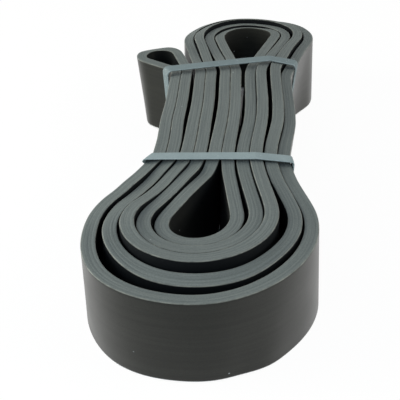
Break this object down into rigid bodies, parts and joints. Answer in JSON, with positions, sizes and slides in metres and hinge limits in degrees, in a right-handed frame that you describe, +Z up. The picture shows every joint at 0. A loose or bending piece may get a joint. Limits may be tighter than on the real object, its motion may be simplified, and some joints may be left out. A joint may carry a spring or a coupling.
{
  "type": "resistance loop band",
  "caption": "Endless layered rubber exercise band, folded into a hank that stands on edge and is held by flat rubber ties.",
  "frame": {"origin": "middle of the hank's outline seen from above, on the surface that it rests on", "axes": "+Z up along the strap's width, +Y along the strands towards the rear turns and the side loop, +X to the right seen from the front turns"},
  "size_m": [0.0832, 0.2108, 0.038],
  "materials": {
    "band_rubber": "matte",
    "tie_rubber": "matte"
  },
  "bodies": {
    "band": {"loop_band": "band_rubber"},
    "front_tie": {"front_tie": "tie_rubber"},
    "rear_tie": {"rear_tie": "tie_rubber"}
  },
  "joints": [
    {"name": "front_tie_slide", "type": "slide", "parent": "band", "child": "front_tie", "axis": [0, 1, 0], "range_m": [0, 0.006]},
    {"name": "rear_tie_slide", "type": "slide", "parent": "band", "child": "rear_tie", "axis": [0, -1, 0], "range_m": [0, 0.03]}
  ]
}
